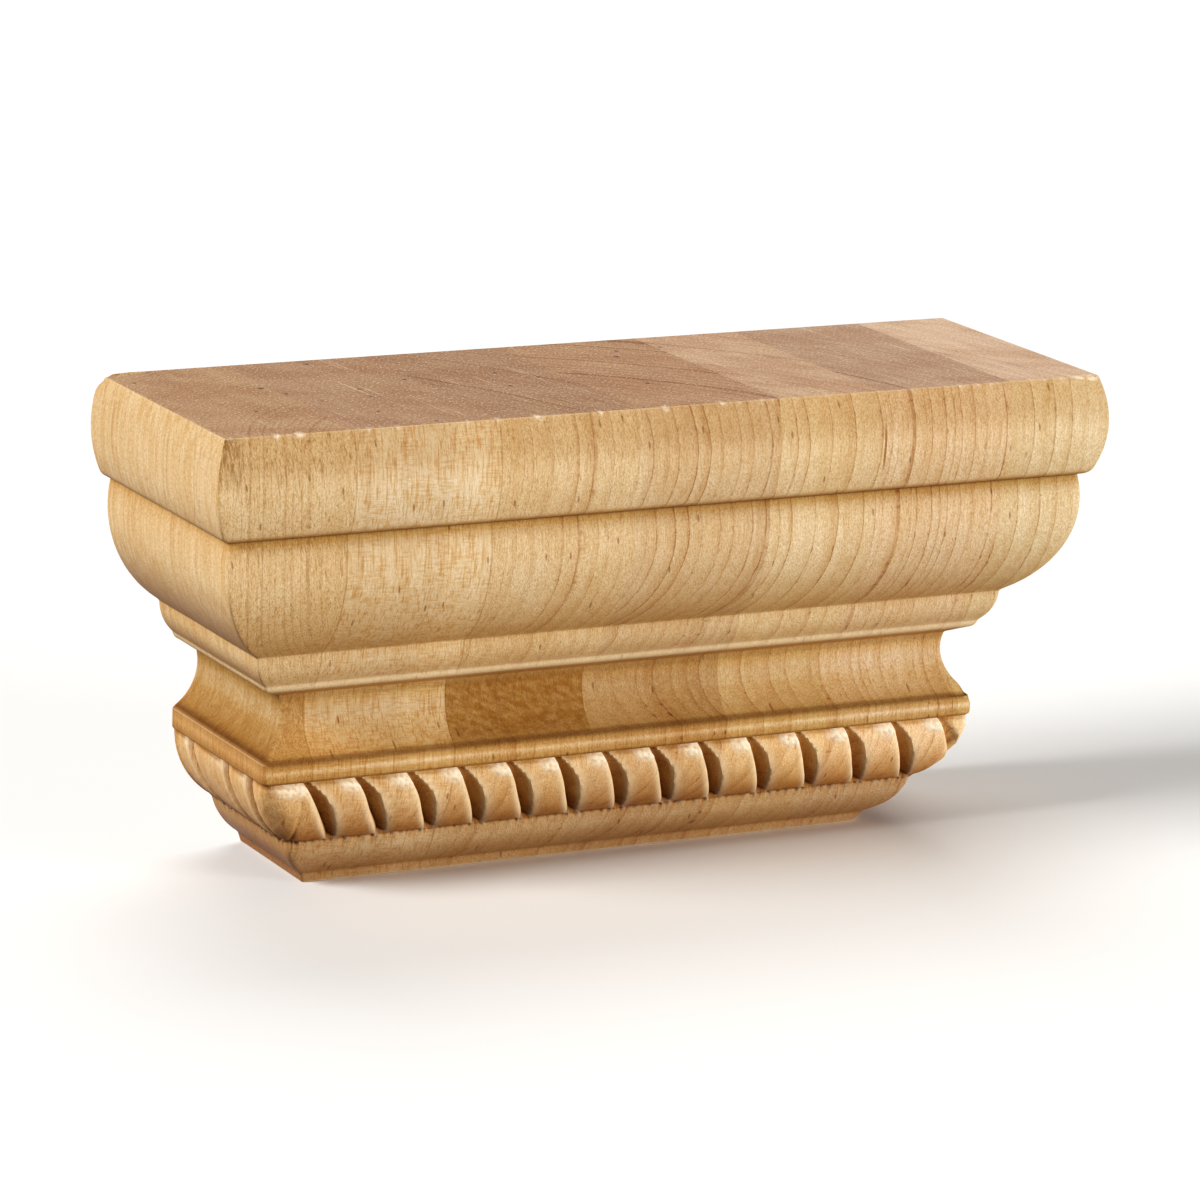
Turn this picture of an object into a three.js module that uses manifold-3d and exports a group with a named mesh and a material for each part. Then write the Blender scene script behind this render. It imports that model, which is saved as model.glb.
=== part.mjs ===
// Carved wooden capital block: one glued-up blank of timber, moulded on its front and two sides.
// Millimetres, +Z up. The front faces -Y, the flat back faces +Y, and X runs along the front.
// The origin is the middle of the flat underside, which is what the block stands on.
//
// A moulding is carried round the front and both sides with mitred corners. It is described by
// its outline: "setback" is how far a point lies inside the top face's edge, and "drop" is how
// far it lies below the top face.

import * as THREE from "three";
import { mergeVertices } from "three/addons/utils/BufferGeometryUtils.js";
import Module from "manifold-3d";

const wasm = await Module();
wasm.setup();

// Top face
const topLength = 249;
const topDepth = 82.2;

// Abacus: the thick cushioned slab at the top, with a rounded lower edge
const abacusHeight = 25.2;
const abacusSwell = 2.6;
const abacusEdgeRun = 3.0;
const abacusEdgeDrop = 1.8;
const abacusEdgeSwell = 0.45;

// Large ovolo under the abacus
const ovoloHeight = 33.4;
const ovoloRun = 13.4;
const ovoloSwell = 5.6;

// Small ovolo, stepped in below the large one
const smallOvoloStep = 0.5;
const smallOvoloHeight = 8.7;
const smallOvoloRun = 3.9;
const smallOvoloSwell = 1.0;

// Bead with a rounded nose and a flat underside
const beadStep = 0.4;
const beadNoseHeight = 1.9;
const beadNoseRun = 2.1;
const beadNoseSwell = 0.4;
const beadSoffitHeight = 1.9;
const beadSoffitRun = 4.3;

// Cavetto: the hollow neck
const cavettoHeight = 15.6;
const cavettoReturn = 5.3;
const cavettoHollow = 2.7;

// Fillet that the rope band hangs from
const filletNose = 0.9;
const filletHeight = 5.1;

// Rope band: an ovolo cut into slanting strands
const ropeTuck = 0.6;
const ropeHeight = 18.7;
const ropeRun = 10.4;
const ropeSwell = 2.8;

// Lower ovolo and the base fillet
const lowerOvoloStep = 0.5;
const lowerOvoloHeight = 10.4;
const lowerOvoloRun = 7.2;
const lowerOvoloSwell = 1.2;
const baseFilletStep = 0.4;
const baseFilletHeight = 2.7;
const baseFilletRun = 0.9;

// Corners of the mouldings, seen from above
const cornerRadius = 1.4;
const cornerSteps = 3;

// Strands: the widths of the plain corner strand, and the grooves between strands
const strandPitch = 14.3;
const firstGrooveFromCorner = 11.2;
const lastGrooveFromCorner = 9.8;
const frontSlant = 10.2;
const sideStrandPitch = 18.8;
const sideGrooveFootToCorner = 4.2;
const sideSlant = 0.8;
const grooveDepthAbove = 1.9;
const grooveDepthMiddle = 4.4;
const grooveDepthBelow = 2.8;
const grooveLeftWall = 2.5;
const grooveRightWall = 1.7;
const grooveShoulder = 1.4;
const grooveShoulderDrop = 0.55;
const cutterReach = 4;

/** A point of the outline: setback from the top face's edge, and drop below the top face. */
const point = (setback, drop) => new THREE.Vector2(setback, drop);

/**
 * Points after "from" on a circular arc that ends "run" further in and "fall" further down.
 * The arc stands "swell" proud of its chord; a negative swell makes a hollow.
 */
function arc(from, run, fall, swell, steps) {
  const chord = point(run, fall);
  const half = chord.length() / 2;
  const along = chord.clone().normalize();
  const outward = point(-along.y, along.x);
  const radius = (half * half + swell * swell) / (2 * Math.abs(swell));
  const side = Math.sign(swell);
  const centre = from.clone()
    .addScaledVector(chord, 0.5)
    .addScaledVector(outward, swell - side * radius);
  const sweep = 2 * Math.atan2(Math.abs(swell), half);
  return Array.from({ length: steps }, (_, i) => {
    const angle = -sweep + (2 * sweep * (i + 1)) / steps;
    return centre.clone()
      .addScaledVector(outward, side * radius * Math.cos(angle))
      .addScaledVector(along, radius * Math.sin(angle));
  });
}

/** The whole outline from the top edge down, and the stretch of it that is the rope band. */
function mouldingOutline() {
  const outline = [point(0, 0)];
  const last = () => outline[outline.length - 1];
  const line = (run, fall) => outline.push(last().clone().add(point(run, fall)));
  const curve = (run, fall, swell, steps) => outline.push(...arc(last(), run, fall, swell, steps));

  curve(0, abacusHeight, abacusSwell, 8);
  curve(abacusEdgeRun, abacusEdgeDrop, abacusEdgeSwell, 3);
  curve(ovoloRun, ovoloHeight, ovoloSwell, 10);
  line(smallOvoloStep, smallOvoloStep);
  curve(smallOvoloRun, smallOvoloHeight, smallOvoloSwell, 4);
  line(0, beadStep);
  curve(beadNoseRun, beadNoseHeight, beadNoseSwell, 3);
  line(beadSoffitRun, beadSoffitHeight);
  curve(-cavettoReturn, cavettoHeight, -cavettoHollow, 9);
  line(-filletNose, filletNose);
  line(0, filletHeight);
  line(ropeTuck, ropeTuck);
  const ropeStart = outline.length - 1;
  curve(ropeRun, ropeHeight, ropeSwell, 8);
  const rope = outline.slice(ropeStart);
  line(lowerOvoloStep, lowerOvoloStep);
  curve(lowerOvoloRun, lowerOvoloHeight, lowerOvoloSwell, 5);
  line(baseFilletStep, baseFilletStep);
  line(baseFilletRun, baseFilletHeight);
  return { outline, rope };
}

const { outline, rope } = mouldingOutline();
const foot = outline[outline.length - 1];
const totalHeight = foot.y;
const undersideDepth = topDepth - foot.x;
const backY = undersideDepth / 2;
const frontY = backY - topDepth;

/** One level of the block seen from above: square at the back, rounded at the front corners. */
function levelRing({ x: setback, y: drop }) {
  const z = totalHeight - drop;
  const side = topLength / 2 - setback;
  const front = frontY + setback;
  const ring = [new THREE.Vector3(-side, backY, z)];
  for (const [corner, start] of [[-1, Math.PI], [1, 1.5 * Math.PI]]) {
    for (let i = 0; i <= cornerSteps; i += 1) {
      const angle = start + (i / cornerSteps) * (Math.PI / 2);
      ring.push(new THREE.Vector3(
        corner * (side - cornerRadius) + cornerRadius * Math.cos(angle),
        front + cornerRadius + cornerRadius * Math.sin(angle),
        z,
      ));
    }
  }
  ring.push(new THREE.Vector3(side, backY, z));
  return ring;
}

/** A closed solid skinned over level rings, given from the top one down. */
function skin(rings) {
  const count = rings[0].length;
  const positions = rings.flat().flatMap((p) => [p.x, p.y, p.z]);
  const triangles = [];
  for (let level = 0; level < rings.length - 1; level += 1) {
    for (let i = 0; i < count; i += 1) {
      const j = (i + 1) % count;
      const [a, b] = [level * count + i, level * count + j];
      const [c, d] = [a + count, b + count];
      triangles.push(a, c, b, b, c, d);
    }
  }
  const cap = (ring) => THREE.ShapeUtils.triangulateShape(ring.map((p) => point(p.x, p.y)), []);
  const lowest = (rings.length - 1) * count;
  cap(rings[0]).forEach(([a, b, c]) => triangles.push(a, b, c));
  cap(rings[rings.length - 1]).forEach(([a, b, c]) => triangles.push(lowest + a, lowest + c, lowest + b));
  const geometry = new THREE.BufferGeometry();
  geometry.setAttribute("position", new THREE.Float32BufferAttribute(positions, 3));
  geometry.setIndex(triangles);
  return geometry;
}

function toSolid(geometry) {
  const merged = mergeVertices(geometry, 1e-4);
  return new wasm.Manifold(new wasm.Mesh({
    numProp: 3,
    vertProperties: new Float32Array(merged.getAttribute("position").array),
    triVerts: new Uint32Array(merged.getIndex().array),
  }));
}

function toGeometry(solid) {
  const mesh = solid.getMesh();
  const geometry = new THREE.BufferGeometry();
  geometry.setAttribute("position", new THREE.Float32BufferAttribute(mesh.vertProperties, 3));
  geometry.setIndex(Array.from(mesh.triVerts));
  const flat = geometry.toNonIndexed();
  flat.computeVertexNormals();
  return flat;
}

/** Faces that carry strands: place() puts "along" the face, "inset" into the wood, at a drop. */
const faces = {
  front: { turn: 1, place: (along, inset, drop) => [along, frontY + inset, totalHeight - drop] },
  left: { turn: 1, place: (along, inset, drop) => [-topLength / 2 + inset, backY - along, totalHeight - drop] },
  right: { turn: -1, place: (along, inset, drop) => [topLength / 2 - inset, backY - along, totalHeight - drop] },
};

/** The cutter of one groove, from its place at the top of the rope band to that at the bottom. */
function grooveCutter(face, alongTop, alongBottom) {
  const rings = rope.map((at, row) => {
    const t = row / (rope.length - 1);
    const eased = t - Math.sin(2 * Math.PI * t) / (4 * Math.PI);
    const along = THREE.MathUtils.lerp(alongTop, alongBottom, eased);
    const depthAtEnd = t < 0.5 ? grooveDepthAbove : grooveDepthBelow;
    const depth = THREE.MathUtils.lerp(grooveDepthMiddle, depthAtEnd, Math.abs(2 * t - 1));
    const shoulder = Math.min(grooveShoulderDrop, depth / 2);
    const section = [
      [-grooveLeftWall - grooveShoulder, -cutterReach],
      [grooveRightWall + grooveShoulder, -cutterReach],
      [grooveRightWall + grooveShoulder, -0.05],
      [grooveRightWall, shoulder],
      [0, depth],
      [-grooveLeftWall, shoulder],
      [-grooveLeftWall - grooveShoulder, -0.05],
    ];
    const ring = section.map(([x, inset]) => {
      const [px, py, pz] = face.place(along + x, at.x + inset, at.y);
      return new THREE.Vector3(px, py, pz);
    });
    return face.turn > 0 ? ring : ring.reverse();
  });
  return toSolid(skin(rings));
}

/** Places of grooves spread evenly from "first" to "last", as near to the pitch as they can be. */
const spread = (first, last, pitch) => {
  const gaps = Math.max(1, Math.round((last - first) / pitch));
  return Array.from({ length: gaps + 1 }, (_, i) => THREE.MathUtils.lerp(first, last, i / gaps));
};

/** Strand grooves: slanting across the front, and leaning towards the front on each side. */
function strandCutters() {
  const upper = rope[0].x;
  const halfFront = topLength / 2 - upper;
  const cutters = spread(-halfFront + firstGrooveFromCorner, halfFront - lastGrooveFromCorner, strandPitch)
    .map((along) => grooveCutter(faces.front, along, along + frontSlant));
  const lowerSideLength = topDepth - rope[rope.length - 1].x;
  const nearest = lowerSideLength - sideGrooveFootToCorner - sideSlant;
  for (const face of [faces.left, faces.right]) {
    for (let along = nearest; along > grooveLeftWall; along -= sideStrandPitch) {
      cutters.push(grooveCutter(face, along, along + sideSlant));
    }
  }
  return cutters;
}

const blank = toSolid(skin(outline.map(levelRing)));
const carved = strandCutters().reduce((solid, cutter) => solid.subtract(cutter), blank);

const timber = new THREE.MeshStandardMaterial({ color: 0xd9b47c, roughness: 0.62, metalness: 0 });
const capitalBlock = new THREE.Mesh(toGeometry(carved), timber);
capitalBlock.name = "capital_block";

const group = new THREE.Group();
group.add(capitalBlock);
export default group;
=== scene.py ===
"""Carved wooden capital block: one glued-up blank of timber, moulded on its front and two sides,
with a band of hand-carved rope strands. Shapes are worked out in millimetres and turned to metres
when a mesh is made. +Z is up, the front faces -Y, and X runs along the front.
"""

import math

import bpy
import numpy as np
from mathutils import Matrix, Vector


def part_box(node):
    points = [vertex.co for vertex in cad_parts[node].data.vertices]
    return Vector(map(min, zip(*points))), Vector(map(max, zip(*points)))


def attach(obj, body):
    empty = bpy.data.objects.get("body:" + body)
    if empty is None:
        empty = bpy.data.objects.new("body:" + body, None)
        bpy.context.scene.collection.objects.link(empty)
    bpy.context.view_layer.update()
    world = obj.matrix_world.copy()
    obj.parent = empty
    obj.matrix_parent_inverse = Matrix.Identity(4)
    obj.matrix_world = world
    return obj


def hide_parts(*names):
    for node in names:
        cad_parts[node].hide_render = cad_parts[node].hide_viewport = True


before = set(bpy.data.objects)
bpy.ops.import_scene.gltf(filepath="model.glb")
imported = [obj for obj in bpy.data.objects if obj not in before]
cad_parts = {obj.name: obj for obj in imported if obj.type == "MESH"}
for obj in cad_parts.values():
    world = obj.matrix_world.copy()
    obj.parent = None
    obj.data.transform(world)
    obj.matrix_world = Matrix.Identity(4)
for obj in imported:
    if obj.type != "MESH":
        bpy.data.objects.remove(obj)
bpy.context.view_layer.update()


# Moulded outline
# The block is one solid of timber. A cutter ran this outline round the front and both sides, with
# mitred corners at the front, and the whole was sanded, which rounded every arris a little.

MM = 0.001
ABACUS_SWELL = 2.6
low_corner, high_corner = (np.array(corner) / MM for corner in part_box("capital_block"))
half_top = high_corner[0] - ABACUS_SWELL
back_y = high_corner[1]
front_y = low_corner[1] + ABACUS_SWELL
top_z = high_corner[2]

TOP_FACE_RIM = (-3.0, 0.0)
ABACUS = ((0.0, 25.2, ABACUS_SWELL), (3.0, 1.8, 0.45))
OVOLO = ((13.4, 33.4, 5.6),)
SMALL_OVOLO = ((0.5, 0.5), (3.9, 8.7, 1.0))
BEAD = ((0.0, 0.4), (2.1, 1.9, 0.4), (4.3, 1.9))
CAVETTO = ((-5.3, 15.6, -2.7),)
FILLET = ((-0.9, 0.9), (0.0, 5.1), (0.6, 0.6))
ROPE = ((10.4, 18.7, 2.8),)
LOWER_OVOLO = ((0.5, 0.5), (7.2, 10.4, 1.2))
BASE = ((0.4, 0.4), (0.9, 2.7))
UNDERSIDE_RIM = (3.0, 0.0)
ABOVE_ROPE = (TOP_FACE_RIM, *ABACUS, *OVOLO, *SMALL_OVOLO, *BEAD, *CAVETTO, *FILLET)
BELOW_ROPE = (*LOWER_OVOLO, *BASE, UNDERSIDE_RIM)

FINE_STEP = 0.05
SANDING = 0.24


def arc(start, run, fall, swell):
    """Points after start on a circular arc whose chord runs in by run and down by fall, and which
    stands swell proud of the chord: centre + radius * (cos outward + sin along). A negative swell
    makes a hollow."""
    chord = np.array((run, fall), float)
    half = np.hypot(*chord) / 2
    along = chord / (2 * half)
    outward = np.array((-along[1], along[0]))
    radius = (half**2 + swell**2) / (2 * abs(swell))
    side = np.sign(swell)
    sweep = 2 * math.atan2(abs(swell), half)
    angles = np.linspace(-sweep, sweep, 1 + max(2, round(2 * radius * sweep / FINE_STEP)))[1:]
    centre = start + chord / 2 + outward * (swell - side * radius)
    return centre + radius * (side * np.outer(np.cos(angles), outward) + np.outer(np.sin(angles), along))


def drawn(start, moves):
    """An outline as (setback, drop) points: from start through each move, which is a straight
    (run, fall) or an arc (run, fall, swell)."""
    points = np.array([start], float)
    for move in moves:
        new = arc(points[-1], *move) if len(move) == 3 else points[-1:] + np.array([move], float)
        points = np.concatenate((points, new))
    return points


def length_along(points):
    """Distance along a polyline at each of its points."""
    return np.concatenate(([0.0], np.cumsum(np.hypot(*np.diff(points, axis=0).T))))


def sanded(points, radius):
    """The outline at even fine steps, averaged with bell-shaped weights about radius wide, so that
    each sharp arris becomes a small round."""
    far = length_along(points)
    even = np.arange(0, far[-1], FINE_STEP)
    reach = math.ceil(4 * radius / FINE_STEP)
    bell = np.exp(-0.5 * (np.arange(-reach, reach + 1) * FINE_STEP / radius) ** 2)
    smooth = []
    for values in points.T:
        padded = np.pad(np.interp(even, far, values), reach, mode="reflect", reflect_type="odd")
        smooth.append(np.convolve(padded, bell / bell.sum(), mode="valid"))
    return np.column_stack(smooth)


def rows_of(points, step, turn):
    """Rows picked from a fine outline so that each covers at most step of length or turn degrees
    of bend, whichever is used up first by their sum."""
    direction = np.unwrap(np.arctan2(*np.diff(points, axis=0).T))
    bend = np.abs(np.diff(direction, prepend=direction[0], append=direction[-1]))
    used = length_along(points) / step + np.concatenate(([0.0], np.cumsum(bend)[1:])) / math.radians(turn)
    marks = np.linspace(0, used[-1], 1 + math.ceil(used[-1]))
    return np.column_stack([np.interp(marks, used, values) for values in points.T])


above = drawn((-TOP_FACE_RIM[0], 0.0), ABOVE_ROPE)
rope = drawn(above[-1], ROPE)
below = drawn(rope[-1], BELOW_ROPE)
whole = sanded(np.concatenate((above, rope[1:], below[1:])), SANDING)
rope_top, rope_bottom = above[-1], rope[-1]
first_rope = np.argmin(np.hypot(*(whole - rope_top).T))
last_rope = np.argmin(np.hypot(*(whole - rope_bottom).T))
arris_end = np.argmax(whole[:, 1] > 4.2)

upper_rows = rows_of(whole[: arris_end + 1], 0.85, 13)
arris_rows = len(upper_rows)
plain_rows = rows_of(whole[arris_end : first_rope + 1], 3.0, 12.5)[1:]
rope_rows = rows_of(whole[first_rope : last_rope + 1], 0.45, 60)[1:]
lower_rows = rows_of(whole[last_rope:], 1.5, 13)[1:]
outline = np.concatenate((upper_rows, plain_rows, rope_rows, lower_rows))
setback, drop = outline.T[:, :, None]
tangent = np.gradient(outline, axis=0)
tangent /= np.hypot(*tangent.T)[:, None]
outward_part, upward_part = tangent[:, 1, None], -tangent[:, 0, None]
in_rope = np.clip((drop - rope_top[1]) / (rope_bottom[1] - rope_top[1]), 0, 1)


# Path round the block
# Each level of the block is a ring. It is measured from the middle of the front: along the front,
# round the mitred corner, along a side, and round the back corner to the middle of the flat back.

STRANDS = 14
FIRST_GROOVE_FROM_CORNER = 11.2
LAST_GROOVE_FROM_CORNER = 9.8
FRONT_SLANT = 10.2
RUN_ROUND_CORNER = 3.0
SIDE_GROOVES_ABOVE = np.array((8.8, 32.6, 48.0))
SIDE_GROOVES_BELOW = np.array((13.0, 34.0, 47.2))
COLUMN = 0.46
BACK_COLUMN = 5.0
END_CROWDING = 0.55


def sines(seed, wavelength, *directions):
    """A smooth random field between about -1 and 1: the mean of 14 sine waves whose wave vectors
    have random headings and lengths near one over the wavelength."""
    rng = np.random.default_rng(seed)
    total = 0
    for _ in range(14):
        heading = rng.normal(size=len(directions))
        heading *= 2 * np.pi * rng.uniform(0.5, 1.6) / (wavelength * np.linalg.norm(heading))
        phase = rng.uniform(0, 2 * np.pi)
        total = total + np.sin(sum(h * d for h, d in zip(heading, directions)) + phase)
    return total / 14 * 2.2


def eased(value):
    """0 below 0, 1 above 1, and an S-curve between."""
    value = np.clip(value, 0, 1)
    return value * value * (3 - 2 * value)


half_front = half_top - setback
side_length = back_y - front_y - setback
rope_half = half_top - np.array((rope_top[0], rope_bottom[0]))
rope_side = back_y - front_y - np.array((rope_top[0], rope_bottom[0]))
level_half = np.where(in_rope <= 0, rope_half[0], np.where(in_rope >= 1, rope_half[1], half_front))
level_side = np.where(in_rope <= 0, rope_side[0], np.where(in_rope >= 1, rope_side[1], side_length))

swing = in_rope + 0.03 * np.sin(2 * np.pi * in_rope)
strand = np.arange(STRANDS)
groove_above = np.linspace(
    -rope_half[0] + FIRST_GROOVE_FROM_CORNER, rope_half[0] - LAST_GROOVE_FROM_CORNER, STRANDS
)
drift_above = 0.7 * np.sin(0.61 * strand) - 0.4
drift_below = 1.4 * np.sin(0.37 * strand + 1.65) - 0.7
front_grooves = groove_above + drift_above + swing * (FRONT_SLANT + drift_below - drift_above)
front_grooves = front_grooves + 0.22 * sines(23, 0.9, in_rope + 0 * strand, 1.7 * strand + 0 * in_rope)
front_grooves[:, -1:] = np.minimum(front_grooves[:, -1:], level_half + RUN_ROUND_CORNER)
side_grooves = SIDE_GROOVES_ABOVE + swing * (SIDE_GROOVES_BELOW - SIDE_GROOVES_ABOVE)
to_left = -level_half - level_side + side_grooves
to_right = level_half + level_side - side_grooves[:, ::-1]
past_last = (front_grooves[:, -1:] + to_right[:, :1]) / 2
right_corner = level_half + swing * (past_last - level_half)


def fitted(places):
    """Places measured on the rope band, carried to each level in proportion to its front or side."""
    beyond = np.abs(places) - level_half
    on_front = np.minimum(np.abs(places), level_half) * half_front / level_half
    on_side = np.maximum(beyond, 0) * side_length / level_side
    return np.sign(places) * (on_front + on_side)


back_corner = half_front + side_length
ring_end = back_corner + half_front
stations = np.hstack((
    -ring_end, -back_corner, fitted(to_left), -half_front,
    fitted(front_grooves), fitted(right_corner), fitted(to_right), back_corner, ring_end,
))


def crowded(count):
    """Shares from 0 up to 1, without the 1, closer together near both ends than in the middle."""
    even = np.arange(count) / count
    return (1 - END_CROWDING) * even + END_CROWDING * (1 - np.cos(np.pi * even)) / 2


middle_level = np.argmin(np.abs(in_rope - 0.5))
widths = np.diff(stations[middle_level])
cell = np.full(len(widths), COLUMN)
cell[[0, -1]] = BACK_COLUMN
counts = 2 * np.maximum(2, np.round(widths / cell / 2).astype(int))
share = np.concatenate([crowded(count) for count in counts])
gap = np.repeat(np.arange(len(counts)), counts)
around = stations[:, gap] * (1 - share) + stations[:, gap + 1] * share
columns = len(share)
LEFT_MITRE, RIGHT_MITRE = 5, 6 + STRANDS

# Corners, seen from above: crisp on the upper mouldings, and carved round at the left of the rope band.
CORNER_LEVELS = (0, 88, 90.9, 96, 99, 106, 114.7, 117, 123, 125.6, 128.7)
LEFT_CORNER_RADII = (0.55, 0.6, 1.6, 2.4, 5.0, 7.5, 5.0, 3.0, 1.2, 0.8, 0.8)
RIGHT_CORNER_RADII = (0.6, 0.6, 2.2, 2.4, 2.4, 2.4, 2.0, 1.5, 2.0, 5.0, 8.0)
BACK_RADIUS = 0.5
radius = np.where(
    around < 0,
    np.interp(drop, CORNER_LEVELS, LEFT_CORNER_RADII),
    np.interp(drop, CORNER_LEVELS, RIGHT_CORNER_RADII),
)

past_front = np.abs(around) - half_front
past_side = past_front - side_length
turn = np.clip((past_front / radius + 1) / 2, 0, 1) * np.pi / 2
back_turn = np.clip((past_side / BACK_RADIUS + 1) / 2, 0, 1) * np.pi / 2
on_front = past_front < -radius
on_side = (past_front > radius) & (past_side < -BACK_RADIUS)
on_back = past_side > BACK_RADIUS
near_back = np.abs(past_side) <= BACK_RADIUS
side_x = np.select(
    (on_front, on_back, near_back, on_side),
    (np.abs(around), half_front - past_side, half_front - BACK_RADIUS * (1 - np.cos(back_turn)), half_front),
    half_front - radius * (1 - np.sin(turn)),
)
ring_y = np.select(
    (on_front, on_back, near_back, on_side),
    (
        front_y + setback, back_y, back_y - BACK_RADIUS * (1 - np.sin(back_turn)),
        front_y + setback + past_front,
    ),
    front_y + setback + radius * (1 - np.cos(turn)),
)
hand = np.sign(around)
facing_x = hand * np.sin(turn) * np.cos(back_turn)
facing_y = np.where(past_side > -BACK_RADIUS, np.sin(back_turn), -np.cos(turn))
moulded = 1 - np.clip(past_side + 1, 0, 1)


# Rope strands
# The carver cut each strand with a gouge: its left edge falls away in a hollow that is widest half
# way down, its right edge is a steep rounded shoulder, and its top is tucked under the fillet.

GROOVE_DEPTH_ABOVE = 1.8
GROOVE_DEPTH_MIDDLE = 3.9
GROOVE_DEPTH_BELOW = 1.7
SIDE_DEPTH_ABOVE = 1.3
SIDE_DEPTH_BELOW = 1.1
SHOULDER = 0.95
HOLLOW_ABOVE = 1.4
HOLLOW_MIDDLE = 3.6
HOLLOW_BELOW = 1.9
TUCK_LEFT = 1.7
TUCK_RIGHT = 0.5
STRAND_TILT = 0.6
RIGHT_FADE = 4.0
LEAF_LINE_X = -92.2
LEAF_LINE_TOP = 0.22


falling = np.clip((in_rope - 0.45) / 0.55, 0, 1) ** 2


def groove(place, mirrored=False):
    """Shape of one groove, 1 at its line: it climbs steeply, as a quarter round, to the strand behind
    it, whose crest is eased over a little more width. Over the strand in front it climbs as the cove
    of a gouge, a quarter ellipse, which turns into a ramp lower down. On the right side the two
    change over. The second field is 1 inside the cove and fades at its rim, softly at the bottom."""
    across = (around - place) * (-1 if mirrored else 1)
    shoulder = SHOULDER * (0.65 + 0.35 * eased(in_rope * 2))
    steep = 1 - np.sqrt(1 - np.clip(1 + across / shoulder, 0, 1) ** 2)
    steep = steep + 0.13 * (np.clip(1 + across / 1.8, 0, 1) ** 2 - steep)
    hollow = HOLLOW_ABOVE + (HOLLOW_MIDDLE - HOLLOW_ABOVE) * np.sin(np.pi / 2 * np.clip(in_rope / 0.4, 0, 1))
    hollow = hollow + (HOLLOW_BELOW - HOLLOW_MIDDLE) * falling
    cove = np.sqrt(1 - np.clip(across / hollow, 0, 1) ** 2)
    soft = 0.03 + 0.4 * in_rope**2
    rise = 1 - across / hollow
    ramp = (rise + np.sqrt(rise**2 + soft**2)) / (1 + np.sqrt(1 + soft**2)) * (across < 2.6 * hollow)
    gentle = cove + (ramp - cove) * (0.25 + 0.5 * eased((in_rope - 0.3) / 0.5))
    inside = eased((across + 0.3) / 0.4) * eased((hollow - across) / (0.3 + 1.6 * in_rope) + 0.3)
    return np.where(across < 0, steep, gentle), inside


band = np.where((drop >= rope_top[1]) & (drop <= rope_bottom[1]), 1.0, 0.0)
front_depth = GROOVE_DEPTH_ABOVE + (GROOVE_DEPTH_MIDDLE - GROOVE_DEPTH_ABOVE) * eased(in_rope / 0.45)
front_depth = front_depth + (GROOVE_DEPTH_BELOW - GROOVE_DEPTH_MIDDLE) * falling
side_depth = SIDE_DEPTH_ABOVE + (SIDE_DEPTH_BELOW - SIDE_DEPTH_ABOVE) * in_rope
relief = np.zeros_like(around)
in_cove = np.zeros_like(around)
rng = np.random.default_rng(7)
boldness = np.append(rng.uniform(0.9, 1.08, STRANDS - 1), 0.55)
for place, bold in zip(front_grooves.T[:, :, None], boldness):
    shape, inside = groove(place)
    relief = np.maximum(relief, shape * front_depth * bold)
    in_cove = np.maximum(in_cove, inside * bold)
fading = 1 - eased((around - level_half) / RIGHT_FADE)
relief, in_cove = relief * fading, in_cove * fading * band
for left, right in zip(to_left.T[:, :, None], to_right.T[:, :, None]):
    for place, mirrored in ((left, False), (right, True)):
        shape, inside = groove(place, mirrored)
        relief = np.maximum(relief, shape * side_depth)
        in_cove = np.maximum(in_cove, 0.25 * inside * band)

starts_at = gap - np.isin(gap, (LEFT_MITRE, RIGHT_MITRE))
ends_at = gap + 1 + np.isin(gap + 1, (LEFT_MITRE, RIGHT_MITRE))
on_strand = (around - stations[:, starts_at]) / (stations[:, ends_at] - stations[:, starts_at])
on_strand = np.where(starts_at > RIGHT_MITRE, 1 - on_strand, on_strand)
on_strand = np.where(starts_at == RIGHT_MITRE - 1, 1 - np.abs(2 * on_strand - 1), on_strand)
tuck = TUCK_LEFT + (TUCK_RIGHT - TUCK_LEFT) * eased(on_strand * 1.3)
tuck_reach = 0.34 - 0.18 * eased(on_strand * 1.2)
relief = relief + tuck * np.clip(1 - in_rope / tuck_reach, 0, 1) ** 2
tilt = STRAND_TILT * eased(in_rope * 3) * (1 - 0.7 * eased((in_rope - 0.7) / 0.3))
relief = relief + tilt * (1 - on_strand) ** 2
proud_corner = eased((on_strand - 0.5) * 3) * np.exp(-(((in_rope - 0.1) / 0.09) ** 2)) * band
proud_corner = proud_corner * np.clip(0.8 + 0.9 * sines(29, 1.6, around, drop), 0, 1.3)
proud_corner = proud_corner * (1 - 0.8 * np.abs(facing_x)) * (1 + 0.35 * eased(around / 60))
relief = relief - 0.35 * proud_corner
leaf_cut = np.exp(-(((around - LEAF_LINE_X) / 0.35) ** 2)) * eased((in_rope - LEAF_LINE_TOP) * 8)
relief = relief + 0.35 * leaf_cut
relief *= band * moulded


# Painted shade in recesses, and rubbed edges with painted highlights
# The bare wood is painted darker wherever the profile or a gouge cut goes inwards, as painted shade for the
# light that the rest of the block keeps out there. Sanding and handling left the arrises and the broken
# splinters paler, and the proud top corners of the strands and the nose of the bead are painted paler still,
# as painted highlights.

HALF_BLUR = 6
# Each crease, a line of painted shade: its drop, its width, and how dark it is on the front and on a side.
CREASES = (
    (26.9, 0.6, 0.5, 0.0), (28.2, 1.8, 0.1, 0.0), (74.8, 1.0, 0.4, 0.3), (89.3, 0.45, 0.2, 1.3),
    (90.3, 0.8, 0.9, 0.2), (95.3, 0.6, 0.7, 0.3), (96.4, 0.7, 0.45, 0.6), (114.6, 0.45, 0.45, 0.5),
    (113.0, 2.6, 0.15, 0.15),
)
NOSE_OF_BEAD = 70.4
NOSE_WIDTH = 1.4


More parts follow.
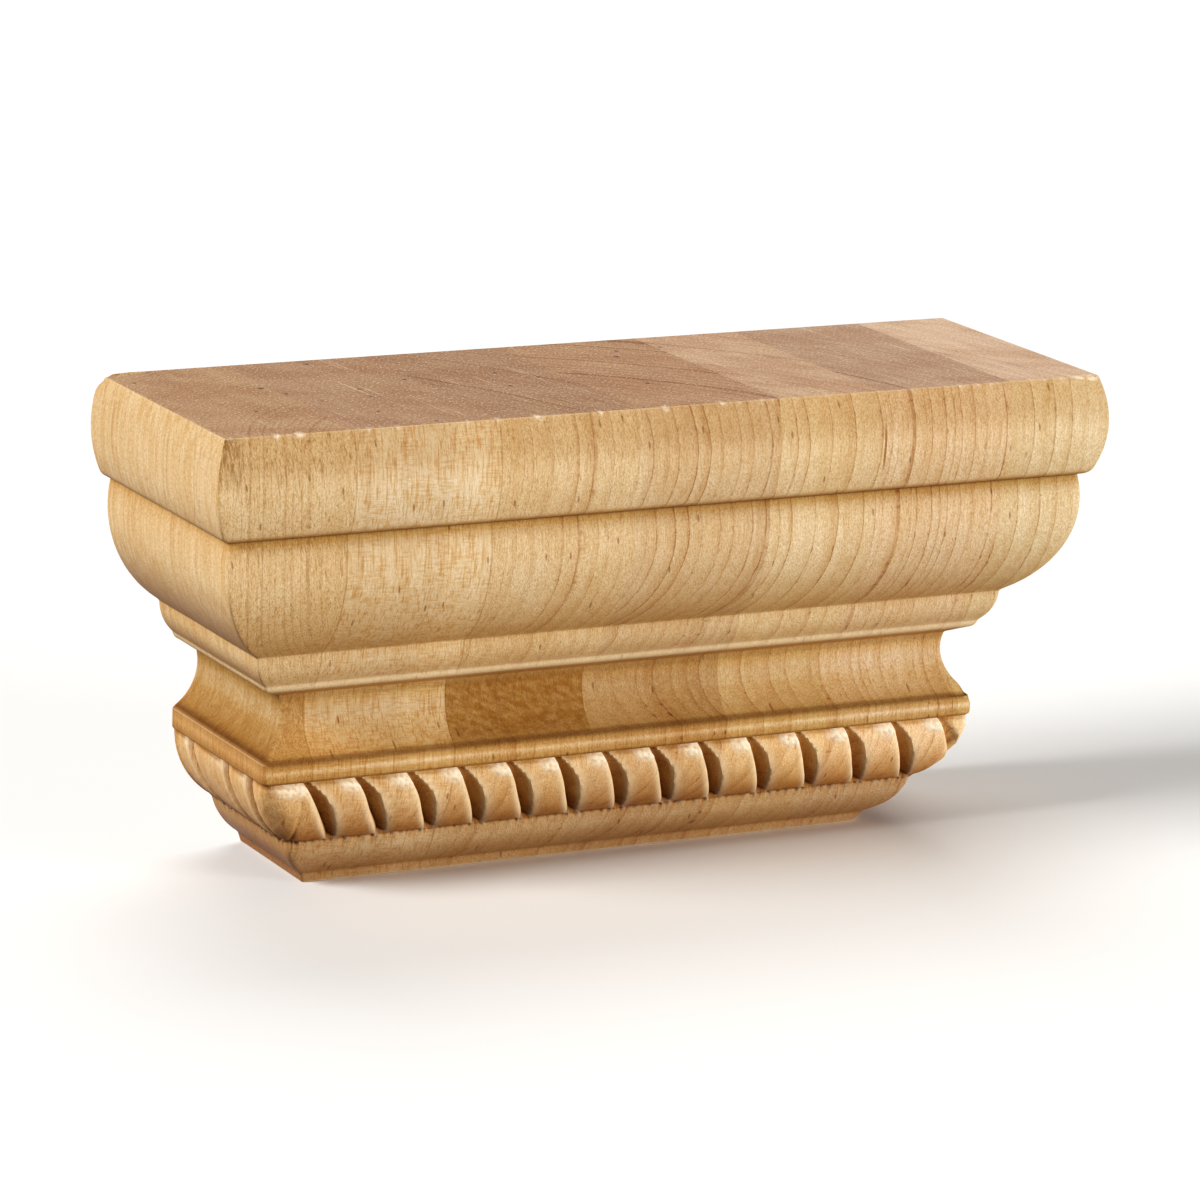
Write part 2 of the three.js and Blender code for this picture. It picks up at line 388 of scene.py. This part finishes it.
def shut_in(points, facing):
    """How much of the half circle before each point of the outline is blocked by the rest of it.
    Angles are taken from the way the point faces: the two horizons are the least angle to any
    earlier point and the greatest to any later one, and on a bulging stretch they stay a right
    angle either way."""
    out = points[:, None, 0] - points[None, :, 0]
    rise = points[:, None, 1] - points[None, :, 1]
    angle = np.arctan2(rise, out) - facing[:, None]
    angle = (angle + np.pi) % (2 * np.pi) - np.pi
    place = np.arange(len(points))
    earlier, later = place[None, :] < place[:, None], place[None, :] > place[:, None]
    upper = np.where(earlier & (angle > 0), angle, np.pi / 2).min(axis=1)
    lower = np.where(later & (angle < 0), angle, -np.pi / 2).max(axis=1)
    return 1 - np.clip(np.minimum(upper, np.pi / 2) - np.maximum(lower, -np.pi / 2), 0, np.pi) / np.pi


def spread_out(field):
    """The field averaged over the columns on both sides, which is the strands without their edges."""
    return sum(np.roll(field, k, axis=1) for k in range(-HALF_BLUR, HALF_BLUR + 1)) / (2 * HALF_BLUR + 1)


facing = np.arctan2(upward_part, outward_part)[:, 0]
bend = -np.gradient(np.unwrap(facing)) / np.gradient(length_along(outline))
arris = np.clip(bend / 1.6, 0, 1)[:, None]
cut_in = relief - spread_out(relief)
sideways = np.abs(facing_x)
creases = sum(
    (ahead + (aside - ahead) * sideways) * np.exp(-(((drop - level) / wide) ** 2))
    for level, wide, ahead, aside in CREASES
)
# Painted shade: how much of its view the rest of the profile shuts in, the creases, the gouge cuts, more
# towards the bottom of the rope band, and inside the coves.
shade = shut_in(outline, facing)[:, None] + creases + 0.03 * relief + 0.15 * np.clip(cut_in, 0, 1.5)
shade = shade + 0.16 * in_rope**2 * band + (0.10 + 0.06 * in_rope) * in_cove
hollow = np.clip(shade, 0, 1) * moulded
# Paler where sanding rubbed the arrises and the strand crests. The proud top corners of the strands and the
# nose of the bead get a painted highlight.
rubbed_and_highlit = arris * (1 - np.clip(2 * creases, 0, 1)) * np.where(drop < 1.5, 0.35, 1.0)
rubbed_and_highlit = rubbed_and_highlit + 1.2 * np.clip(-cut_in, 0, 1) + proud_corner
rubbed_and_highlit = rubbed_and_highlit + 0.8 * (1 - 0.6 * sideways) * np.exp(-(((drop - NOSE_OF_BEAD) / NOSE_WIDTH) ** 2))
rubbed_and_highlit = np.clip(rubbed_and_highlit, 0, 1) * moulded


# The carved block's mesh
# One closed skin carries the mouldings, the strands, the chips that the saw broke out of the top
# arris, and the fibres torn up where the gouge stopped against the lower ovolo.

# Each chip: its place along the front, its width and its depth.
CHIPS = (
    (-110.7, 1.5, 0.45), (-104.6, 2.0, 0.55), (-85.9, 1.0, 0.4), (-50.7, 0.9, 0.3), (-39.2, 2.3, 0.5),
    (-22.0, 1.0, 0.4), (-3.6, 1.4, 0.5), (12.7, 1.2, 0.4), (24.3, 1.0, 0.4), (118.4, 2.0, 0.5),
    (122.4, 2.8, 0.9),
)
CHIP_HEIGHT = 0.6
KNIFE_MARK = 0.07
TEAR = 0.4
WORN_CORNER = 1.2
WORN_CORNER_WIDTH = 2.4
WORN_END = 1.4
WORN_END_DROP = 89.8
FINE_ROWS_BELOW_ROPE = 7

across_front = np.where(on_front, around, 1000.0)
chipped = sum(depth * np.exp(-(((across_front - at) / (wide / 2)) ** 4)) for at, wide, depth in CHIPS)
chipped = chipped * np.clip(0.7 + 1.1 * sines(31, 1.1, across_front, 2 * drop), 0, 1.4)
chipped = chipped + 0.25 * np.clip(sines(37, 2.6, across_front) - 0.4, 0, 1) * on_front
chipped = chipped * np.exp(-((drop - 0.2) / CHIP_HEIGHT) ** 2) * (np.abs(setback) < 1.5)

surface_z = top_z - drop
unevenness = 0.05 + 0.05 * sines(3, 40, around, drop * 2) + 0.012 * sines(5, 6, around, drop * 0.4)
knife_marks = KNIFE_MARK * sines(11, 4.0, around + 5 * in_rope, drop * 0.8) * band
torn = np.exp(-((drop - rope_bottom[1] - 0.35) / 0.45) ** 2) * (drop > rope_bottom[1] + 0.02)
tears = torn * TEAR * np.clip(sines(17, 3.1, around) + 0.6 * sines(19, 1.6, around), -0.9, 1.3)
worn = np.exp(-((past_side / WORN_CORNER_WIDTH) ** 2 + (drop / WORN_CORNER_WIDTH) ** 2))
worn = WORN_CORNER * worn * (around < 0)
worn_end = np.exp(-(((around - half_front) / 5) ** 2 + ((drop - WORN_END_DROP) / 1.1) ** 2))
worn_end = WORN_END * worn_end
depth = (np.clip(unevenness, 0, 0.15) * eased(drop / 2) + knife_marks - tears) * moulded
depth = depth + relief + chipped + worn_end
px = hand * side_x - facing_x * outward_part * depth
py = ring_y - facing_y * outward_part * depth
pz = surface_z - upward_part * depth * moulded
px = px - hand * worn * 0.8
py = py - worn * 0.6
pz = pz - worn * 0.7
grid = np.stack((px, py, pz), axis=-1)
# Pale broken fibres at the chips and tears, and a painted highlight on the proud top corners of the strands.
splintered_and_highlit = chipped / 0.4 + 0.4 * torn * np.clip(tears / 0.3, 0, 1) + 1.1 * proud_corner
splintered_and_highlit = np.clip(splintered_and_highlit, 0, 1) * moulded
fields = np.stack((hollow, rubbed_and_highlit, splintered_and_highlit), axis=-1)


def ring_faces(first, rows, count):
    """Four-sided faces of a closed band of rows, with count points to the ring."""
    at = first + np.arange(rows - 1)[:, None] * count + np.arange(count)
    onward = first + np.arange(rows - 1)[:, None] * count + (np.arange(count) + 1) % count
    return np.stack((at, at + count, onward + count, onward), axis=-1).reshape(-1, 4)


def stitch_down(coarse_first, fine_first, count):
    """Five-sided faces from a ring of count points above to one of twice as many below."""
    k = np.arange(count)
    following = (k + 1) % count
    return np.stack((
        coarse_first + k, fine_first + 2 * k, fine_first + 2 * k + 1,
        fine_first + 2 * following, coarse_first + following,
    ), axis=-1)


def stitch_up(fine_first, coarse_first, count):
    """Five-sided faces from a ring of twice count points above to one of count points below."""
    k = np.arange(count)
    following = (k + 1) % count
    return np.stack((
        fine_first + 2 * k, coarse_first + k, coarse_first + following,
        fine_first + 2 * following, fine_first + 2 * k + 1,
    ), axis=-1)


fine_above = arris_rows
fine_from = arris_rows + len(plain_rows)
fine_to = fine_from + len(rope_rows) + FINE_ROWS_BELOW_ROPE
stretches = (
    (0, fine_above, 1), (fine_above, fine_from, 2), (fine_from, fine_to, 1), (fine_to, len(outline), 2),
)
points, finish, faces, starts = [], [], [], []
for first, end, every in stretches:
    starts.append(sum(len(p) for p in points))
    points.append(grid[first:end, ::every].reshape(-1, 3))
    finish.append(fields[first:end, ::every].reshape(-1, 3))
    faces += ring_faces(starts[-1], end - first, columns // every).tolist()
last_ring = [(end - first - 1) * (columns // every) for first, end, every in stretches]
ring_start = [start + offset for start, offset in zip(starts, last_ring)]
faces += stitch_up(ring_start[0], starts[1], columns // 2).tolist()
faces += stitch_down(ring_start[1], starts[2], columns // 2).tolist()
faces += stitch_up(ring_start[2], starts[3], columns // 2).tolist()
faces.append(list(range(columns)))
faces.append(list(range(ring_start[3], ring_start[3] + columns // 2))[::-1])

mesh = bpy.data.meshes.new("carved_block")
mesh.from_pydata(np.concatenate(points) * MM, [], faces)
mesh.shade_smooth()
mesh.set_sharp_from_angle(angle=math.radians(50))
block = bpy.data.objects.new("carved_block", mesh)
bpy.context.scene.collection.objects.link(block)
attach(block, "root")
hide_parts("capital_block")
for name, values in zip(("hollow", "rubbed_and_highlit", "splintered_and_highlit"), np.concatenate(finish).T):
    mesh.attributes.new(name, "FLOAT", "POINT").data.foreach_set("value", values)


# Timber
# Seven staves of a pale, close-grained hardwood stand side by side with the grain upright, glued into
# one blank. It was sanded and left bare. Its flat top was only sawn, so the end grain there is duller
# and pinker. Lengths here are millimetres, and heights are above the underside.

STAVE_JOINTS = (-90.0, -50.3, -10.9, 28.9, 59.1, 97.4)
STAVE_MIDDLES = np.array((-107.0, -70.0, -30.0, 9.0, 44.0, 78.0, 111.0))
RING_HEADING = np.radians((147.3, 3.0, 19.3, 35.8, 26.6, 15.4, 14.0))
RING_RADIUS = np.array((63.0, 400.0, 230.0, 120.0, 170.0, 200.0, 260.0))
RING_WIDTH = (2.1, 2.2, 3.9, 3.7, 5.6, 3.1, 6.6)
RING_STRENGTH = (0.4, 0.15, 0.7, 1.1, 0.8, 0.75, 0.8)
FLECK_STRENGTH = (1.0, 0.4, 0.7, 0.4, 0.35, 0.6, 0.2)
NECK_STAIN = (0.5, 0.25, 1.0, 0.45, 0.2, 0.0, 0.0)
FACE_COLOURS = (
    (0.80, 0.615, 0.385), (0.79, 0.63, 0.43), (0.845, 0.66, 0.43), (0.79, 0.605, 0.40),
    (0.88, 0.71, 0.48), (0.88, 0.69, 0.49), (0.90, 0.755, 0.53),
)
TOP_COLOURS = (
    (0.49, 0.295, 0.16), (0.44, 0.26, 0.148), (0.42, 0.245, 0.14), (0.48, 0.285, 0.16),
    (0.61, 0.41, 0.26), (0.51, 0.335, 0.22), (0.70, 0.50, 0.345),
)
CRACK_X = 59.0
LINE_TINT = (0.56, 0.35, 0.13)
FLECK_TINT = (0.66, 0.50, 0.27)
pith = np.stack((
    STAVE_MIDDLES - RING_RADIUS * np.cos(RING_HEADING),
    -50.0 - RING_RADIUS * np.sin(RING_HEADING),
))

timber = bpy.data.materials.new("timber")
timber.use_nodes = True
shader = timber.node_tree.nodes["Principled BSDF"]
shader.inputs["Specular IOR Level"].default_value = 0.3
shader.inputs["Specular Tint"].default_value = (1, 0.78, 0.48, 1)
mesh.materials.append(timber)


class Grain:
    """A socket of the timber's nodes. Arithmetic on it adds Math nodes, and node() any other."""

    def __init__(self, socket):
        self.socket = socket

    def node(self, kind, settings, values, output=0):
        """A new node of that kind, with its settings made first and then the values or links of its
        sockets, and the output that is wanted from it."""
        made = timber.node_tree.nodes.new(kind)
        for name, setting in settings.items():
            setattr(made, name, setting)
        for key, value in values.items():
            if isinstance(value, Grain):
                timber.node_tree.links.new(value.socket, made.inputs[key])
            else:
                made.inputs[key].default_value = value
        return Grain(made.outputs[output])

    def math(self, operation, *values):
        return self.node("ShaderNodeMath", {"operation": operation}, dict(enumerate(values)))

    def __add__(self, other):
        return self.math("ADD", self, other)

    def __sub__(self, other):
        return self.math("SUBTRACT", self, other)

    def __rsub__(self, other):
        return self.math("SUBTRACT", other, self)

    def __mul__(self, other):
        return self.math("MULTIPLY", self, other)

    def __truediv__(self, other):
        return self.math("DIVIDE", self, other)

    def __pow__(self, other):
        return self.math("POWER", self, other)

    def __gt__(self, other):
        return self.math("GREATER_THAN", self, other)

    __radd__ = __add__
    __rmul__ = __mul__

    def from_to(self, low, high):
        """0 at low, 1 at high and an S-curve between, either way round."""
        settings = {"interpolation_type": "SMOOTHSTEP"}
        return self.node("ShaderNodeMapRange", settings, {0: self, 1: low, 2: high})

    def coloured(self, mask, colour, how="MIX"):
        """This colour mixed with, or multiplied by, another one as far as the mask says."""
        settings = {"data_type": "RGBA", "blend_type": how}
        colour = colour if isinstance(colour, Grain) else (*colour, 1)
        return self.node("ShaderNodeMix", settings, {0: mask, 6: self, 7: colour}, output=2)


def at(x, y, z):
    return place.node("ShaderNodeCombineXYZ", {}, {0: x, 1: y, 2: z})


def cloud(x, y, z, detail=2.0):
    """A smooth random field from 0 to 1, whose lumps are about one unit across."""
    return place.node("ShaderNodeTexNoise", {}, {"Vector": at(x, y, z), "Scale": 1.0, "Detail": detail})


def luck(*numbers):
    """A random number from 0 to 1 for each whole-number input."""
    return place.node("ShaderNodeTexWhiteNoise", {"noise_dimensions": "2D"}, {0: at(*numbers, 0)})


def attribute(name):
    return place.node("ShaderNodeAttribute", {"attribute_name": name}, {}, output="Fac")


place = Grain(timber.node_tree.nodes.new("ShaderNodeTexCoord").outputs["Object"])
place = place.node("ShaderNodeVectorMath", {"operation": "SCALE"}, {0: place, "Scale": 1 / MM})
x, y, z = (place.node("ShaderNodeSeparateXYZ", {}, {0: place}, output=axis) for axis in "XYZ")
past_joint = [x > joint for joint in STAVE_JOINTS]


def by_stave(numbers):
    """The stave's own number: the first one, plus the step at each joint that lies to the left."""
    total = numbers[0]
    for mask, before, after in zip(past_joint, numbers, numbers[1:]):
        if after != before:
            total = mask * (after - before) + total
    return total


def stave_colour(colours):
    """The stave's own colour, changed at each joint that lies to the left."""
    first, second = (*colours[0], 1), (*colours[1], 1)
    chosen = place.node("ShaderNodeMix", {"data_type": "RGBA"}, {0: past_joint[0], 6: first, 7: second}, 2)
    for mask, colour in zip(past_joint[1:], colours[2:]):
        chosen = chosen.coloured(mask, colour)
    return chosen


stave = by_stave(range(7))
from_pith_x = x - by_stave(pith[0].tolist())
from_pith_y = y - by_stave(pith[1].tolist())
from_pith = (from_pith_x**2 + from_pith_y**2) ** 0.5
wander = 2.6 * cloud(0.035 * x + 9 * stave, 0.035 * y, 0.014 * z) + 0.5 * cloud(0.4 * x, 0.4 * y, 0.09 * z)
wander = wander + 0.22 * cloud(1.5 * x, 1.5 * y, 0.5 * z)
ring_width = by_stave(RING_WIDTH)
rings = (from_pith + wander) / ring_width
rings = rings + 2.6 * cloud(0.6 * rings, 3 * stave, 0.5)
ring = rings.math("FLOOR", rings)
across_ring = rings - ring
to_line = ring_width * across_ring.math("MINIMUM", across_ring, 1 - across_ring)
ring_luck = luck(ring, stave)
strength = by_stave(RING_STRENGTH) * (0.22 + 1.05 * ring_luck**1.6)
broken = cloud(5.3 * ring, stave, 0.16 * z).from_to(0.34, 0.6)
upper_part = 0.45 + 0.55 * z.from_to(64, 76)
line = to_line.from_to(0.36, 0.06) * strength * (0.35 + 0.65 * broken) * upper_part
late_wood = across_ring**2 * strength

normal = place.node("ShaderNodeNewGeometry", {}, {}, output="Normal")
to_side, to_front, upright = (place.node("ShaderNodeSeparateXYZ", {}, {0: normal}, axis) for axis in "XYZ")
on_front = to_front.from_to(-0.3, -0.7)
on_side = to_side.math("ABSOLUTE", to_side).from_to(0.3, 0.8)
level_face = upright.math("ABSOLUTE", upright)
sawn_top = level_face.from_to(0.93, 0.99) * (z > top_z - 2)
facing_down = upright.from_to(-0.15, -0.9)
facing_up = upright.from_to(0.3, 0.95) * (1 - sawn_top)
on_moulding = to_front.from_to(0.9, 0.5)

lean = x + 0.07 * z
fine_streaks = cloud(3.6 * lean, 3.6 * y, 0.10 * z)
top_third = (z + 5 * cloud(0.5 * x, y, 0)).from_to(top_z - 12, top_z - 4) * on_front
fleck_share = by_stave(FLECK_STRENGTH) * (1 - 0.75 * on_side) * (0.75 + 0.3 * top_third)
flecks = cloud(2.1 * lean, 2.1 * y, 0.22 * z, 1.5).from_to(0.53, 0.70) * fleck_share
dashes = cloud(7.7 * ring, stave, 0.5 * z).from_to(0.58, 0.68) * to_line.from_to(0.7, 0.15) * strength
drifts = cloud(0.05 * x, 0.05 * y, 0.02 * z)

quarter_sawn = by_stave((0, 1, 0, 0, 0, 0, 0))
patchy = cloud(0.2 * x, 0.2 * y, 0.12 * z).from_to(0.3, 0.55)
cross_streaks = cloud(0.28 * x, 0.3 * y, 2.3 * z + 0.1 * x, 1.0).from_to(0.46, 0.6) * patchy * quarter_sawn
upright_streaks = cloud(2.0 * x, 0.8 * y, 0.13 * z, 1.0).from_to(0.54, 0.64) * quarter_sawn
pale_middle = x.from_to(-66, -60) * x.from_to(-49, -52) * quarter_sawn

felt = cloud(2.4 * x + z, 2.4 * y, 1.7 * z - x, 4.0)
fibres = cloud(5.0 * x, 5.0 * y, 0.9 * z, 2.0)
bands = cloud(0.5 * x, 0.5 * y, 0.015 * z)
colour = stave_colour(FACE_COLOURS)
colour = colour.coloured(0.1 * quarter_sawn + 0.5 * pale_middle, (0.96, 0.80, 0.58))
colour = colour.coloured(0.7 * drifts.from_to(0.35, 0.7), (0.93, 0.85, 0.70), "MULTIPLY")
colour = colour.coloured((0.6 + 0.5 * on_side) * bands.from_to(0.4, 0.65), (0.90, 0.82, 0.68), "MULTIPLY")
colour = colour.coloured(0.6 * fine_streaks.from_to(0.4, 0.7), (0.86, 0.76, 0.58), "MULTIPLY")
matt = 1 - 0.5 * quarter_sawn
colour = colour.coloured(0.9 * felt.from_to(0.42, 0.64) * matt, (0.82, 0.73, 0.57), "MULTIPLY")
colour = colour.coloured(0.8 * fibres.from_to(0.45, 0.62) * matt, (0.83, 0.74, 0.58), "MULTIPLY")
colour = colour.coloured(0.6 * cross_streaks, (0.83, 0.66, 0.42), "MULTIPLY")
colour = colour.coloured(0.75 * upright_streaks, (0.80, 0.60, 0.32), "MULTIPLY")
colour = colour.coloured(0.85 * late_wood, (0.80, 0.655, 0.475), "MULTIPLY")
colour = colour.coloured(line * (1 - 0.25 * on_side) * (0.45 + 0.55 * on_moulding), LINE_TINT, "MULTIPLY")
colour = colour.coloured(0.8 * flecks, FLECK_TINT, "MULTIPLY")
colour = colour.coloured(dashes * on_moulding, LINE_TINT, "MULTIPLY")
colour = colour.coloured(top_third, (0.81, 0.72, 0.58), "MULTIPLY")
cell = {"Vector": at(0.13 * x + 0.3, 0.045 * (z + x), 0), "Scale": 1.0}
nick_place = place.node("ShaderNodeTexVoronoi", {"voronoi_dimensions": "2D"}, cell, "Distance")
nick_luck = place.node("ShaderNodeTexVoronoi", {"voronoi_dimensions": "2D"}, cell, "Color")
nicks = nick_place.from_to(0.055, 0.025) * nick_luck.from_to(0.45, 0.55) * on_front
colour = colour.coloured(0.8 * nicks, (0.40, 0.24, 0.10), "MULTIPLY")

in_neck = z.from_to(36, 42) * z.from_to(56, 52) * on_moulding
figure = 0.55 + 0.45 * cloud(0.5 * x + 0.5 * z, y, 0.5 * z).from_to(0.3, 0.7)
neck_stain = by_stave(NECK_STAIN)
colour = colour.coloured(neck_stain * in_neck * figure, (0.54, 0.36, 0.09), "MULTIPLY")
# Outside the stain, the neck is painted lighter, deepest in its hollow and on the sides: painted light.
colour = colour.coloured((1 - neck_stain) * in_neck, (1.16, 1.28, 1.6), "MULTIPLY")
deepest_of_neck = z.from_to(44.5, 48) * z.from_to(52.5, 50) * on_moulding
colour = colour.coloured(deepest_of_neck * (1 - neck_stain), (1.06, 1.13, 1.35), "MULTIPLY")
colour = colour.coloured(deepest_of_neck * on_side, (1.14, 1.26, 1.6), "MULTIPLY")
joint_lines = sum(
    x.from_to(joint - 0.3, joint - 0.1) * x.from_to(joint + 0.3, joint + 0.1) for joint in STAVE_JOINTS[:2]
)
colour = colour.coloured(0.6 * joint_lines * on_front, (0.66, 0.50, 0.28), "MULTIPLY")
corner_stain = x.from_to(-119.0, -122.5) * z.from_to(top_z - 14, top_z - 5) * on_front
corner_stain = corner_stain * cloud(1.1 * x, y, 0.12 * z).from_to(0.38, 0.6)
colour = colour.coloured(corner_stain, (0.55, 0.42, 0.22), "MULTIPLY")
off_crack = x - CRACK_X - 0.8 * cloud(7, 7, 0.25 * z)
crack = off_crack.math("ABSOLUTE", off_crack).from_to(0.5, 0.15)
crack = crack * z.from_to(106, 111) * z.from_to(121.5, 118) * on_front
colour = colour.coloured(crack, (0.52, 0.30, 0.10), "MULTIPLY")

sawn = stave_colour(TOP_COLOURS)
saw_marks = cloud(1.7 * x + 0.12 * y, 0.03 * y, 0, 3.0)
saw_bands = cloud(0.22 * x + 0.016 * y, 0.018 * y, 3, 2.0)
blotches = cloud(0.05 * x + 0.04 * y, 0.05 * y, 1, 4.0)
sawn = sawn.coloured(0.8 * blotches.from_to(0.4, 0.62), (0.84, 0.74, 0.68), "MULTIPLY")
sawn = sawn.coloured(0.35 * saw_bands.from_to(0.45, 0.62), (0.84, 0.80, 0.78), "MULTIPLY")
sawn = sawn.coloured(0.55 * saw_marks.from_to(0.42, 0.62), (0.84, 0.80, 0.76), "MULTIPLY")
sawn = sawn.coloured(0.7 * saw_marks.from_to(0.40, 0.30) * saw_bands.from_to(0.48, 0.36), (0.78, 0.60, 0.45))
sawn = sawn.coloured(line.math("MINIMUM", 1.6 * line, 1.0), (0.66, 0.52, 0.42), "MULTIPLY")
sawn = sawn.coloured(0.6 * late_wood, (0.80, 0.70, 0.62), "MULTIPLY")
speckle = cloud(2.2 * x, 0.9 * y, 0, 3.0)
sawn = sawn.coloured(0.9 * speckle.from_to(0.45, 0.62), (0.80, 0.75, 0.70), "MULTIPLY")
sawn = sawn.coloured(0.8 * speckle.from_to(0.42, 0.3), (0.80, 0.62, 0.46))
cell = {"Vector": at(x, y, 0), "Scale": 0.12}
pit_place = place.node("ShaderNodeTexVoronoi", {"voronoi_dimensions": "2D"}, cell, "Distance")
pit_luck = place.node("ShaderNodeTexVoronoi", {"voronoi_dimensions": "2D"}, cell, "Color")
pit_size = 0.25 * pit_luck - 0.12
pits = (pit_size - pit_place).from_to(0, 0.02) * pit_luck.from_to(0.74, 0.78) * x.from_to(50, 20)
sawn = sawn.coloured(pits, (0.10, 0.06, 0.05))
colour = colour.coloured(sawn_top, sawn)

# Painted shade in recesses and on faces turned down or up, and tints by height, among them painted shade and
# painted light: the foot is below 14, the rope band from 14 to 33, the fillet up to 39 and the neck, tinted
# above, up to 54.
shade = attribute("hollow")
# Recesses are painted darker, in two steps, as painted shade, and a little more on the sides.
painted_recess_shade = shade.from_to(0.02, 0.5)
painted_deep_shade = shade.from_to(0.5, 1.05)
foot = (z + 2 * cloud(0.1 * x, 0.1 * y, 5)).from_to(20, 5)
# Faces turned down are darker: painted shade.
colour = colour.coloured(facing_down, (0.80, 0.66, 0.46), "MULTIPLY")
in_rope_band = z.from_to(13, 15) * z.from_to(34, 32) * on_moulding
# On the sides, faces turned down outside the rope band are darker still: painted shade.
colour = colour.coloured(facing_down * on_side * (1 - in_rope_band), (0.49, 0.34, 0.17), "MULTIPLY")
colour = colour.coloured(in_rope_band * (1 - on_side), (1.04, 0.90, 0.73), "MULTIPLY")
colour = colour.coloured(in_rope_band * on_side, (0.92, 0.80, 0.64), "MULTIPLY")
# The rope band is painted darker towards its bottom, as painted shade, and lighter towards the right, as
# painted light.
colour = colour.coloured(in_rope_band * z.from_to(29, 15), (0.80, 0.66, 0.47), "MULTIPLY")
colour = colour.coloured(in_rope_band * x.from_to(0, 75), (1.22, 1.30, 1.44), "MULTIPLY")
# The fillet is darker towards the left: painted shade.
on_fillet = z.from_to(32, 34) * z.from_to(40, 37) * on_moulding
colour = colour.coloured(on_fillet * x.from_to(60, 20), (0.95, 0.88, 0.78), "MULTIPLY")
colour = colour.coloured(z.from_to(31, 33) * z.from_to(43, 39) * on_side, (0.84, 0.70, 0.50), "MULTIPLY")
# A little darker below the top rim of the mouldings: painted shade.
under_rim = z.from_to(top_z - 17, top_z - 5) * (1 - sawn_top) * on_moulding
colour = colour.coloured(under_rim, (0.92, 0.92, 0.93), "MULTIPLY")
# Faces turned up are darker, most in the rope band: painted shade.
colour = colour.coloured((0.4 + 0.6 * in_rope_band) * facing_up, (0.70, 0.56, 0.36), "MULTIPLY")
colour = colour.coloured(painted_recess_shade, (0.72, 0.57, 0.31), "MULTIPLY")
colour = colour.coloured(0.7 * painted_recess_shade * on_side * z.from_to(70, 60), (0.74, 0.74, 0.66), "MULTIPLY")
colour = colour.coloured(painted_deep_shade, (0.42, 0.32, 0.20), "MULTIPLY")
# Darker towards the foot: painted shade.
colour = colour.coloured(foot * on_moulding, (0.54, 0.40, 0.28), "MULTIPLY")
torn_top = z.from_to(10, 12.5) * z.from_to(15, 14) * on_moulding
colour = colour.coloured(0.6 * torn_top, (0.84, 0.72, 0.58), "MULTIPLY")
# On the sides too the foot is darker and more golden: painted shade.
colour = colour.coloured(foot * on_side, (0.92, 0.74, 0.48), "MULTIPLY")
# Rubbed arrises are paler, with painted highlights on the strand corners and the nose of the bead.
colour = colour.coloured(0.42 * attribute("rubbed_and_highlit"), (0.95, 0.74, 0.45))
# Broken splinters are paler, with a painted highlight on the strand corners.
colour = colour.coloured(0.75 * attribute("splintered_and_highlit"), (0.98, 0.86, 0.66))

grain_relief = 0.5 * fine_streaks + 0.6 * felt - 0.5 * flecks - 0.25 * line - 1.5 * crack
grain_relief = grain_relief * (1 - sawn_top) + sawn_top * (saw_marks + 0.5 * speckle - 2 * pits)
bump = place.node("ShaderNodeBump", {}, {"Strength": 0.5, "Distance": 0.0002, "Height": grain_relief})
timber.node_tree.links.new(colour.socket, shader.inputs["Base Color"])
timber.node_tree.links.new(bump.socket, shader.inputs["Normal"])
roughness = 0.5 + 0.12 * fine_streaks + 0.2 * sawn_top + 0.3 * painted_recess_shade
timber.node_tree.links.new(roughness.socket, shader.inputs["Roughness"])


# Floor, lights and camera
# A plain pale floor. A wide light stands low on the right front, another higher on the left, and a
# weak one above and behind lights the top.

floor_size = 6.0
floor_mesh = bpy.data.meshes.new("floor")
corners = np.array(((-1, -1, 0), (1, -1, 0), (1, 1, 0), (-1, 1, 0))) * floor_size / 2
floor_mesh.from_pydata(corners, [], [(0, 1, 2, 3)])
floor = bpy.data.objects.new("floor", floor_mesh)
bpy.context.scene.collection.objects.link(floor)
pale = bpy.data.materials.new("pale_floor")
pale.use_nodes = True
pale.node_tree.nodes["Principled BSDF"].inputs["Base Color"].default_value = (0.9, 0.89, 0.87, 1)
pale.node_tree.nodes["Principled BSDF"].inputs["Roughness"].default_value = 0.9
floor_mesh.materials.append(pale)

world = bpy.data.worlds.new("studio")
bpy.context.scene.world = world
world.use_nodes = True
world.node_tree.nodes["Background"].inputs["Color"].default_value = (1, 0.99, 0.97, 1)
world.node_tree.nodes["Background"].inputs["Strength"].default_value = 0.12
floor.visible_diffuse = False
floor.visible_shadow = False


def soft_light(name, towards, watts, spread):
    """A far, wide studio light: towards points from the block to it, and spread is how wide it
    looks from there, in degrees."""
    light = bpy.data.lights.new(name, "SUN")
    light.energy = watts
    light.angle = math.radians(spread)
    holder = bpy.data.objects.new(name, light)
    holder.rotation_euler = Vector(towards).to_track_quat("Z", "Y").to_euler()
    bpy.context.scene.collection.objects.link(holder)


soft_light("key_right", (0.66, -0.74, 0.035), 3.75, 24)
soft_light("fill_left", (-1.5, -0.1, 0.85), 4.1, 26)
soft_light("top_behind", (0.15, 0.5, 0.86), 1.25, 40)

CAMERA_PLACE = (-0.646617, -1.292472, 0.419996)
CAMERA_RIGHT = (0.89431514, -0.44639138, 0.0305803)
CAMERA_UP = (0.08032299, 0.22740512, 0.97048191)
CAMERA_BACK = (-0.44016888, -0.86546036, 0.23922733)
camera = bpy.data.cameras.new("camera")
camera.lens = 168.136
camera.sensor_width = 36
camera_holder = bpy.data.objects.new("camera", camera)
turned = Matrix((CAMERA_RIGHT, CAMERA_UP, CAMERA_BACK)).transposed().to_4x4()
turned.translation = CAMERA_PLACE
camera_holder.matrix_world = turned
bpy.context.scene.collection.objects.link(camera_holder)
bpy.context.scene.camera = camera_holder
bpy.context.scene.view_settings.view_transform = "Standard"
